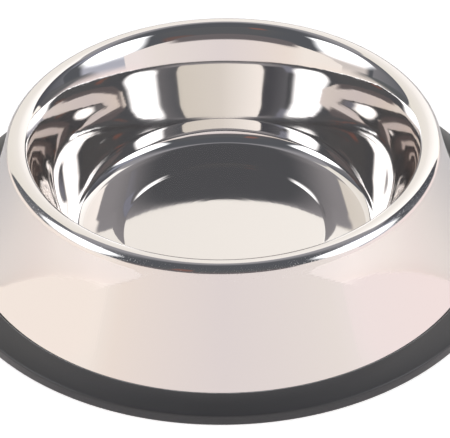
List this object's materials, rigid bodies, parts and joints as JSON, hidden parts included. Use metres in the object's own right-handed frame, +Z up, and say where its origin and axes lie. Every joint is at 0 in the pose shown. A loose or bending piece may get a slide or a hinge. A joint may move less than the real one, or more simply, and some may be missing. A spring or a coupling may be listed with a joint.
{
  "type": "pet bowl",
  "caption": "Round stainless steel pet bowl on a flared one-piece skirt, with a moulded rubber non-slip ring round its foot.",
  "frame": {"origin": "centre of the rubber ring's underside, on the surface that the bowl stands on", "axes": "+Z up along the bowl's axis of revolution, out of its mouth; X and Y are any two square directions across it"},
  "size_m": [0.2548, 0.2548, 0.0555],
  "materials": {
    "polished_steel": "mirror-polished stainless steel, buffed after pressing",
    "moulded_rubber": "matte moulded rubber, dark grey"
  },
  "bodies": {
    "root": {"steel_bowl": "polished_steel", "rubber_ring": "moulded_rubber"}
  },
  "joints": []
}
